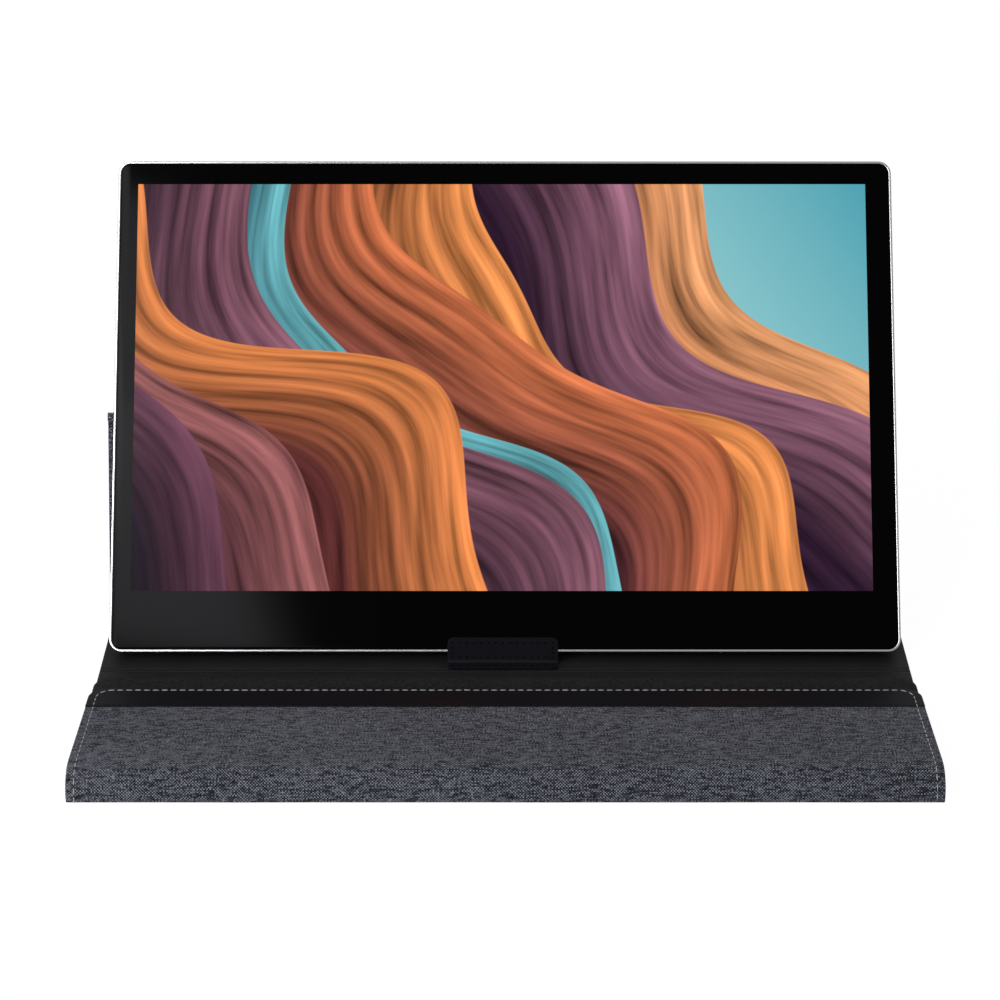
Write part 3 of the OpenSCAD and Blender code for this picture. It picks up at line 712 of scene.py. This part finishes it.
def makeFlap():
    bent, flat = fold["bentStep"], fold["flatStep"]
    rows = (spread(0, fold["centreZ"], bent) + spread(fold["centreZ"], flapAt, bent)[1:]
            + spread(flapAt, trimAt, flat)[1:])
    cloth = panelPiece("flapCloth", flapLine, rows, lambda s: coverHalf, fold["skin"], "woven",
                       replaced=("front_roll", "flap_fabric"), columns=96,
                       puff=fold["swell"])
    crossFold(cloth)
    panelPiece("flapTrim", lowered(flapLine, -fold["trimRise"]),
               cornerRows(trimAt, flapEnd, fold["corner"], fold["trimStep"]),
               roundCorner(coverHalf, flapEnd, fold["corner"]), fold["skin"] + fold["trimRise"],
               "leather", body="flap", replaced=("flap_trim",),
               edge=fold["trimEdge"])
    end = flapEnd - fold["liningIn"]
    rows = (spread(fold["liningLow"], flapAt, fold["liningStep"])
            + cornerRows(flapAt, end, fold["corner"], flat)[1:])
    lining = panelPiece("flapLining", lowered(flapLine, fold["skin"]), rows,
                        roundCorner(coverHalf - fold["liningIn"], end, fold["corner"]),
                        fold["lining"], "suede", edge=thinEdge,
                        replaced=("front_roll_lining", "flap_lining"))
    crossFold(lining)


# the light stitch up one side, round both free corners and down the other
def stitchCourse():
    radius, turns = fold["stitchCorner"], fold["stitchTurns"]
    side, top = coverHalf - fold["sideStitchIn"] - radius, flapEnd - fold["stitchIn"] - radius
    left = [Vector((-side - radius, s, 0))
            for s in spread(fold["stitchLow"], top, fold["stitchStep"])]
    for i in range(1, turns + 1):
        turn = pi - pi / 2 * i / turns
        left.append(Vector((radius * cos(turn) - side, top + radius * sin(turn), 0)))
    return mirrored(left)


def makeStitches():
    bm = bmesh.new()
    for place, heading in walkPath(stitchCourse(), fold["stitchPitch"]):
        lift = fold["stitchLift"] + (fold["trimRise"] if place.y > trimAt else 0)
        here, normal = flapPoint(place.x, place.y, lift)
        there, _ = flapPoint(place.x + heading.x * mm, place.y + heading.y * mm, lift)
        addBead(bm, here, (there - here).normalized(), normal, fold["stitchSize"])
    piece = finishPiece(bm, "edgeStitches", "thread")
    crossFold(piece)
    # near-black beads of painted shade for the needle holes along the trim seam
    bm = bmesh.new()
    half, pitch = coverHalf - fold["seamEnd"], fold["seamPitch"]
    for i in range(floor(2 * half / pitch)):
        here, normal = flapPoint(i * pitch - half, trimAt + fold["seamIn"],
                                 fold["trimRise"] - fold["seamSink"])
        addBead(bm, here, Vector((1, 0, 0)), normal, fold["seamSize"])
    finishPiece(bm, "seamHoleShades", "holeShade", "flap")


# the base on the table with its lining and the ledge panel

base = {
    "cloth": 2.0 * mm,
    "clothStep": 12 * mm,
    "lining": 0.5 * mm,
    "liningIn": 0.2 * mm,
    "liningSteps": (8 * mm, 0.25 * mm, 6 * mm),
    "footAhead": 7.0 * mm,
    "creases": (-7.0 * mm, -9.5 * mm),
    "creaseDepth": 0.28 * mm,
    "creaseWidth": 0.5 * mm,
    "creaseRoom": 2 * mm,
    "corner": 8 * mm,
    "ledgeEdge": 0.8 * mm,
    "ledgeStep": 3 * mm,
    "hemIn": 2.2 * mm,
    "hemFrom": 60 * mm,
    "hemStep": 2 * mm,
    "hemPitch": 2.6 * mm,
    "hemSize": (1.25 * mm, 0.2 * mm, 0.12 * mm),
}
baseTop = base["cloth"] + base["lining"]
footY = jointAt["monitor_recline"].y - base["footAhead"]
ledgeLow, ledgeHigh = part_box("ledge_panel")


def liningLine(s):
    dip = sum(exp(-((s - footY - c) / base["creaseWidth"]) ** 2) for c in base["creases"])
    return s, baseTop - dip * base["creaseDepth"], 0.0, 1.0


def makeBase():
    start, end = coverLow.y, coverHigh.y
    panelPiece("baseCloth", lambda s: (s, base["cloth"], 0.0, 1.0),
               spread(start, end, base["clothStep"]), lambda s: coverHalf, base["cloth"],
               "woven", body="cover_base", replaced=("base_fabric",))
    low = footY + min(base["creases"]) - base["creaseRoom"]
    high = footY + max(base["creases"]) + base["creaseRoom"]
    front, fine, back = base["liningSteps"]
    rows = spread(start, low, front) + spread(low, high, fine)[1:] + spread(high, end, back)[1:]
    panelPiece("baseLining", liningLine, rows, lambda s: coverHalf - base["liningIn"],
               base["lining"], "lining", body="cover_base",
               replaced=("base_lining",), edge=thinEdge)


def makeLedge():
    panelPiece("ledgePanel", lambda s: (s, ledgeHigh.z, 0.0, 1.0),
               cornerRows(ledgeLow.y, ledgeHigh.y, base["corner"], base["ledgeStep"]),
               roundCorner(coverHalf, ledgeHigh.y, base["corner"]), ledgeHigh.z - ledgeLow.z,
               "suede", body="cover_base", replaced=("ledge_panel",),
               edge=base["ledgeEdge"])
    bm = bmesh.new()
    corner, end = base["corner"] - base["hemIn"], ledgeHigh.y - base["hemIn"]
    inset = roundCorner(coverHalf - base["hemIn"], end, corner)
    left = [Vector((-inset(s), s, 0))
            for s in cornerRows(ledgeLow.y + base["hemFrom"], end, corner, base["hemStep"])]
    for place, heading in walkPath(mirrored(left), base["hemPitch"]):
        addBead(bm, Vector((place.x, place.y, ledgeHigh.z)), heading, Vector((0, 0, 1)),
                base["hemSize"])
    finishPiece(bm, "ledgeHem", "suede", "cover_base")


# stop tab: one strip of leather, sewn flat and bent up in front of the glass

tab = {
    "width": 51 * mm,
    "centre": -1 * mm,
    "flat": 4.2 * mm,
    "bend": 1.3 * mm,
    "bendStep": 0.35 * mm,
    "thickness": 1.2 * mm,
    "edge": 0.35 * mm,
    "leaf": 10.6 * mm,
    "leafStep": 1 * mm,
    "lean": radians(15),
    "ahead": 0.7 * mm,
    "corner": 3 * mm,
    "foot": 2.5 * mm,
    "footSteps": 5,
    "blend": (0.2 * mm, 2.2 * mm),
    "holes": 15,
    "holeIn": 2.4 * mm,
    "holeRise": 1.2 * mm,
    "holeSize": (0.5 * mm, 0.42 * mm, 0.16 * mm),
}
tabTop = baseTop + tab["thickness"]
tabFace = jointAt["stop_tab_fold"].y - tab["ahead"]
tabSweep = pi / 2 - tab["lean"]
tabBendEnd = tab["flat"] + tab["bend"] * tabSweep
tabEnd = tabBendEnd + tab["leaf"]


def tabLine(s):
    bendY = tabFace - tab["bend"]
    if s < tab["flat"]:
        return bendY - tab["flat"] + s, tabTop, 0.0, 1.0
    turn = min(s - tab["flat"], tab["bend"] * tabSweep) / tab["bend"]
    y = bendY + tab["bend"] * sin(turn)
    z = tabTop + tab["bend"] * (1 - cos(turn))
    extra = max(0.0, s - tabBendEnd)
    return y + extra * cos(turn), z + extra * sin(turn), -sin(turn), cos(turn)


def tabWidth(s):
    if s > tabEnd - tab["corner"]:
        return roundCorner(tab["width"] / 2, tabEnd, tab["corner"])(s)
    into = max(0.0, tab["foot"] - s)
    return tab["width"] / 2 - tab["foot"] + sqrt(tab["foot"] ** 2 - into ** 2)


def bendTab(piece):
    ahead, rise = tab["blend"]
    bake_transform(piece, "cover_base", "stop_tab", start=(0, tabFace - tab["bend"], tabTop),
             end=(0, tabFace + ahead, tabTop + rise))


def makeTab():
    steps = tab["footSteps"]
    rows = ([tab["foot"] * (1 - cos(pi / 2 * i / steps)) for i in range(steps + 1)]
            + spread(tab["foot"], tabBendEnd, tab["bendStep"])[1:]
            + cornerRows(tabBendEnd, tabEnd, tab["corner"], tab["leafStep"])[1:])
    piece = panelPiece("stopTab", tabLine, rows, tabWidth, tab["thickness"], "leather",
                       shift=tab["centre"], columns=40, edge=tab["edge"],
                       replaced=("tab_flange", "tab_leaf"))
    bendTab(piece)
    # near-black beads of painted shade for the needle holes in the tab
    bm = bmesh.new()
    inner = tab["width"] / 2 - tab["holeIn"]
    low, high = tabBendEnd + tab["holeRise"], tabEnd - tab["holeIn"]
    spots = [(across, s) for s in (tab["flat"] / 2, low, high)
             for across in spread(-inner, inner, 2 * inner / (tab["holes"] - 1))]
    spots += [(side * inner, low + (high - low) * i / 3) for side in (-1, 1) for i in (1, 2)]
    for across, s in spots:
        y, z, ny, nz = tabLine(s)
        addBead(bm, Vector((tab["centre"] + across, y, z)), Vector((1, 0, 0)),
                Vector((0, ny, nz)), tab["holeSize"])
    bendTab(finishPiece(bm, "tabHoleShades", "holeShade"))


# the stand behind: two fabric panels and the cloth that joins them at their folds

stand = {
    "thickness": 2.5 * mm,
    "edge": 0.3 * mm,
    "step": 6 * mm,
    "corner": 8 * mm,
    "rearLength": 140 * mm,
    "rearRest": 1.15 * mm,
    "side": 0.6 * mm,
    "apexRoom": 1.8 * mm,
    "apexWidth": 2.6 * mm,
    "apexRise": 0.05 * mm,
    "apexSide": 0.8 * mm,
    "apexCloth": 0.5 * mm,
    "apexStep": 0.5 * mm,
    "apexEdge": 0.12 * mm,
    "apexBlend": 2.2 * mm,
    "footRoom": 1.5 * mm,
    "footLap": 0.2 * mm,
    "footCloth": 0.4 * mm,
    "footStep": 0.4 * mm,
    "footEdge": 0.1 * mm,
    "footBlend": (-1.5 * mm, 1.2 * mm, 1.5 * mm),
}
panelHalf = stand["thickness"] / 2
footPivot, apexPivot = jointAt["front_prop_fold"], jointAt["rear_prop_fold"]
standLow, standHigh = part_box("prop_facing")
standHalf = (standHigh.x - standLow.x) / 2
standShift = (standHigh.x + standLow.x) / 2
propWay = Vector((0, apexPivot.y - footPivot.y, apexPivot.z - footPivot.z))
propLength = propWay.length
propWay.normalize()
propOut = Vector((0, -propWay.z, propWay.y))
rearFall = apexPivot.z - stand["rearRest"]
rearDrop = atan2(rearFall, sqrt(stand["rearLength"] ** 2 - rearFall ** 2))
rearWay = Vector((0, cos(rearDrop), -sin(rearDrop)))
rearOut = Vector((0, sin(rearDrop), cos(rearDrop)))


def straightLine(origin, way, out):
    def line(s):
        place = origin + way * s + out * panelHalf
        return place.y, place.z, out.y, out.z
    return line


apexRadius = panelHalf + stand["apexRise"]
apexFrom, apexTo = atan2(propOut.z, propOut.y), atan2(rearOut.z, rearOut.y)
apexArc = apexRadius * (apexFrom - apexTo)


# cloth over the top fold: straight, round the pivot, straight again
def apexLine(s):
    into = s - stand["apexWidth"]
    if into < 0:
        place = apexPivot + propWay * into + propOut * apexRadius
        return place.y, place.z, propOut.y, propOut.z
    if into > apexArc:
        place = apexPivot + rearWay * (into - apexArc) + rearOut * apexRadius
        return place.y, place.z, rearOut.y, rearOut.z
    turn = apexFrom - into / apexRadius
    return (apexPivot.y + apexRadius * cos(turn), apexPivot.z + apexRadius * sin(turn),
            cos(turn), sin(turn))


footArc = panelHalf * (atan2(-propOut.z, -propOut.y) + pi / 2)


# cloth under the foot: flat on the table, round the pivot, up the back of the front panel
def footLine(s):
    into = s - stand["footRoom"] - stand["footLap"]
    if into < 0:
        return footPivot.y + into, footPivot.z - panelHalf, 0.0, -1.0
    if into < footArc:
        turn = into / panelHalf - pi / 2
        return (footPivot.y + panelHalf * cos(turn), footPivot.z + panelHalf * sin(turn),
                cos(turn), sin(turn))
    place = footPivot + propWay * (into - footArc) - propOut * panelHalf
    return place.y, place.z, -propOut.y, -propOut.z


def makeStand():
    panelPiece("propPanel", straightLine(footPivot, propWay, propOut),
               spread(stand["footRoom"], propLength - stand["apexRoom"], stand["step"]),
               lambda s: standHalf + stand["side"], stand["thickness"], "woven",
               shift=standShift, edge=stand["edge"], body="front_prop",
               replaced=("prop_fabric", "prop_facing"))
    length, corner = stand["rearLength"], stand["corner"]
    panelPiece("rearPanel", straightLine(apexPivot, rearWay, rearOut),
               cornerRows(stand["apexRoom"], length, corner, stand["step"]),
               roundCorner(standHalf, length, corner), stand["thickness"], "woven",
               shift=standShift, body="rear_prop",
               replaced=("rear_fabric", "rear_facing"))
    rows = spread(0, 2 * stand["apexWidth"] + apexArc, stand["apexStep"])
    hem = panelPiece("apexCloth", apexLine, rows, lambda s: standHalf + stand["apexSide"],
                     stand["apexCloth"], "woven", shift=standShift,
                     edge=stand["apexEdge"])
    reach = stand["apexBlend"]
    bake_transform(hem, "front_prop", "rear_prop",
             start=tuple(apexPivot - propWay * reach + propOut * panelHalf),
             end=tuple(apexPivot + rearWay * reach + rearOut * panelHalf))
    rows = spread(0, 2 * stand["footRoom"] + stand["footLap"] + footArc, stand["footStep"])
    foot = panelPiece("footCloth", footLine, rows, lambda s: standHalf, stand["footCloth"],
                      "woven", shift=standShift, edge=stand["footEdge"])
    before, behind, rise = stand["footBlend"]
    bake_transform(foot, "cover_base", "front_prop", start=(0, footPivot.y + before, 0),
             end=(0, footPivot.y + behind, rise))


# the monitor: glass, picture and rim in its own upright frame

monitor = {
    "lean": radians(35),
    "thickness": 9 * mm,
    "edge": 1.5 * mm,
    "width": 366.0 * mm,
    "height": 233.1 * mm,
    "corner": 6 * mm,
    "cornerSteps": 12,
    "rim": 1.2 * mm,
    "rimLap": 0.02 * mm,
    "rimDepth": 3 * mm,
    "rimEdge": 0.3 * mm,
    "glass": 0.7 * mm,
    "glassEdge": 0.35 * mm,
    "picture": 0.04 * mm,
    "pictureWidth": 344.2 * mm,
    "pictureHeight": 193.6 * mm,
    "pictureRatio": 1.778,
    "pictureShift": -1.5 * mm,
    "chin": 27.1 * mm,
}
monitorTurn = (Matrix.Translation(jointAt["monitor_recline"])
               @ Matrix.Rotation(-monitor["lean"], 4, "X")
               @ Matrix.Translation((0, monitor["edge"] - monitor["thickness"],
                                     -monitor["edge"])))


# rounded sheet in the upright frame: x across, y back from the front, z up
def roundedSheet(width, height, corner, below=0.0):
    bm = bmesh.new()
    bmesh.ops.create_grid(bm, x_segments=1, y_segments=1, size=0.5,
                          matrix=Matrix.Diagonal((width, height, 1, 1)))
    bmesh.ops.bevel(bm, geom=bm.verts[:], offset=corner, offset_type="OFFSET",
                    segments=monitor["cornerSteps"], profile=0.5, affect="VERTICES",
                    material=-1)
    upright = (Matrix.Translation((0, 0, below + height / 2))
               @ Matrix.Rotation(pi / 2, 4, "X"))
    bmesh.ops.transform(bm, verts=bm.verts, matrix=upright)
    bmesh.ops.recalc_face_normals(bm, faces=bm.faces)
    return bm


# gives the sheet its depth, rounds the front edges and puts it in its leaning place
def deepen(bm, depth, edge, segments):
    bmesh.ops.translate(bm, vec=(0, depth, 0), verts=extruded(bm))
    bmesh.ops.recalc_face_normals(bm, faces=bm.faces)
    front = [e for e in sharpEdges(bm) if all(abs(v.co.y) < flush for v in e.verts)]
    bevelEdges(bm, front, edge, segments)
    bmesh.ops.transform(bm, matrix=monitorTurn, verts=bm.verts)


def makeGlass():
    low = monitor["rim"]
    bm = roundedSheet(monitor["width"] - 2 * low, monitor["height"] - 2 * low,
                      monitor["corner"] - low, below=low)
    deepen(bm, monitor["glass"], monitor["glassEdge"], 3)
    finishPiece(bm, "coverGlass", "glass", "monitor", ("front_glass",))


def makePicture():
    bm = bmesh.new()
    bmesh.ops.create_grid(bm, x_segments=16, y_segments=9, size=0.5)
    bmesh.ops.translate(bm, vec=(0, 0, -monitor["picture"]), verts=extruded(bm))
    uv = bm.loops.layers.uv.new("cloth")
    for face in bm.faces:
        for loop in face.loops:
            right, up = loop.vert.co.x + 0.5, loop.vert.co.y + 0.5
            loop[uv].uv = (monitor["pictureRatio"] * right, up)
    middle = monitor["rim"] + monitor["chin"] + monitor["pictureHeight"] / 2
    place = (Matrix.Translation((monitor["pictureShift"], -monitor["picture"] / 2, middle))
             @ Matrix.Rotation(pi / 2, 4, "X")
             @ Matrix.Diagonal((monitor["pictureWidth"], monitor["pictureHeight"], 1, 1)))
    bmesh.ops.transform(bm, matrix=monitorTurn @ place, verts=bm.verts)
    finishPiece(bm, "litPicture", "picture", "monitor", smooth=False)


def makeRim():
    bm = roundedSheet(monitor["width"], monitor["height"], monitor["corner"])
    bmesh.ops.inset_region(bm, faces=bm.faces[:], thickness=monitor["rim"] - monitor["rimLap"],
                           use_even_offset=True, use_boundary=True)
    middle = max(bm.faces, key=lambda f: f.calc_area())
    bmesh.ops.delete(bm, geom=[middle], context="FACES_ONLY")
    deepen(bm, monitor["rimDepth"], monitor["rimEdge"], 2)
    finishPiece(bm, "polishedRim", "rim", "monitor", ("rim_frame",))


# floor, white surroundings and lamps

room = {
    "worldStrength": 0.42,
    "floorShare": 0.9,
    "floorGlow": 1.07,
    "floorRadius": 6.0,
    "floorDrop": 0.02 * mm,
}

# name: place, what it is aimed at, width, height, power
lamps = {
    "key": ((-0.9, -1.3, 1.3), (-0.1, 0.0, 0.05), 0.5, 0.5, 9.0),
    "side": ((-1.3, -1.1, 0.5), (-0.1, -0.1, 0.02), 0.5, 0.5, 8.0),
}

card = {
    "place": (-0.66, -1.35, 1.5),
    "size": (0.7, 1.5),
    "tilt": radians(-46),
    "colour": (0.95, 0.95, 1.0, 1),
    "fadeFrom": -0.50,
    "fadeTo": -0.40,
    "strength": 22.0,
}


def mixShaders(tree, out, share, a, b):
    mixed = addNode(tree, "ShaderNodeMixShader", {0: share, 1: a, 2: b})
    tree.links.new(mixed.outputs[0], out.inputs[0])


# a white card beside the camera, seen only as a soft grey reflection in the glass
def makeCard():
    material, tree, out = bareMaterial("reflectedCard")
    right, _ = splitPlace(tree, objectPlace(tree))
    fade = addNode(tree, "ShaderNodeMapRange", {
        "Value": right, "From Min": card["fadeTo"], "From Max": card["fadeFrom"],
        "To Min": 0.0, "To Max": card["strength"]})
    glow = addNode(tree, "ShaderNodeEmission", {"Color": card["colour"],
                                                "Strength": fade.outputs[0]})
    clear = tree.nodes.new("ShaderNodeBsdfTransparent")
    rays = tree.nodes.new("ShaderNodeLightPath")
    mixShaders(tree, out, rays.outputs["Is Glossy Ray"], clear.outputs[0], glow.outputs[0])
    bm = bmesh.new()
    bmesh.ops.create_grid(bm, x_segments=1, y_segments=1, size=0.5)
    place = (Matrix.Translation(card["place"]) @ Matrix.Rotation(card["tilt"] + pi / 2, 4, "X")
             @ Matrix.Diagonal((*card["size"], 1, 1)))
    bmesh.ops.transform(bm, verts=bm.verts, matrix=place)
    newObject(bm, "whiteCard", material)


def makeWorld():
    world = bpy.data.worlds.new("whiteRoom")
    bpy.context.scene.world = world
    world.use_nodes = True
    tree = world.node_tree
    tree.nodes.clear()
    rays = tree.nodes.new("ShaderNodeLightPath")
    seen = calc(tree, "MAXIMUM", rays.outputs["Is Camera Ray"],
                calc(tree, "MAXIMUM", rays.outputs["Is Glossy Ray"],
                     rays.outputs["Is Transmission Ray"]))
    strength = calc(tree, "MULTIPLY_ADD", seen, 1.0 - room["worldStrength"],
                    room["worldStrength"])
    background = addNode(tree, "ShaderNodeBackground", {"Color": (1, 1, 1, 1),
                                                        "Strength": strength})
    out = tree.nodes.new("ShaderNodeOutputWorld")
    tree.links.new(background.outputs[0], out.inputs[0])


def makeFloor():
    material, tree, out = bareMaterial("whiteFloor")
    soft = noise(tree, objectPlace(tree), 3.0, 2.0)
    tint = mixColours(tree, soft, (0.86, 0.86, 0.86, 1), (0.9, 0.9, 0.9, 1))
    shader = addNode(tree, "ShaderNodeBsdfPrincipled", {"Base Color": tint, "Roughness": 0.9,
                                                        "Specular IOR Level": 0.0})
    rays = tree.nodes.new("ShaderNodeLightPath")
    glow = addNode(tree, "ShaderNodeEmission", {"Color": (1, 1, 1, 1),
                                                "Strength": room["floorGlow"]})
    share = calc(tree, "MULTIPLY", rays.outputs["Is Camera Ray"], room["floorShare"])
    mixShaders(tree, out, share, shader.outputs[0], glow.outputs[0])
    bm = bmesh.new()
    bmesh.ops.create_circle(bm, cap_ends=True, segments=64, radius=room["floorRadius"])
    bmesh.ops.translate(bm, vec=(0, 0, -room["floorDrop"]), verts=bm.verts)
    newObject(bm, "paleFloor", material)


def makeLamps():
    for name, (place, target, width, height, power) in lamps.items():
        lamp = bpy.data.lights.new(name + "Lamp", "AREA")
        lamp.energy = power
        lamp.shape = "RECTANGLE"
        lamp.size = width
        lamp.size_y = height
        holder = bpy.data.objects.new(name + "Lamp", lamp)
        holder.location = place
        aim = Vector(target) - Vector(place)
        holder.rotation_euler = aim.to_track_quat("-Z", "Y").to_euler()
        bpy.context.scene.collection.objects.link(holder)


def makeRoom():
    makeWorld()
    makeFloor()
    makeCard()
    makeLamps()
    bpy.context.scene.view_settings.view_transform = "Standard"


setCamera()
print("camera set at pitch", round(degrees(camera["pitchDown"]), 1))
makeRoom()
dressNodes()
print("room and kept nodes done")
makeBase()
makeLedge()
makeFlap()
makeStitches()
print("cover done")
makeTab()
makeStand()
print("tab and stand done")
makeGlass()
makePicture()
makeRim()
print("monitor done")
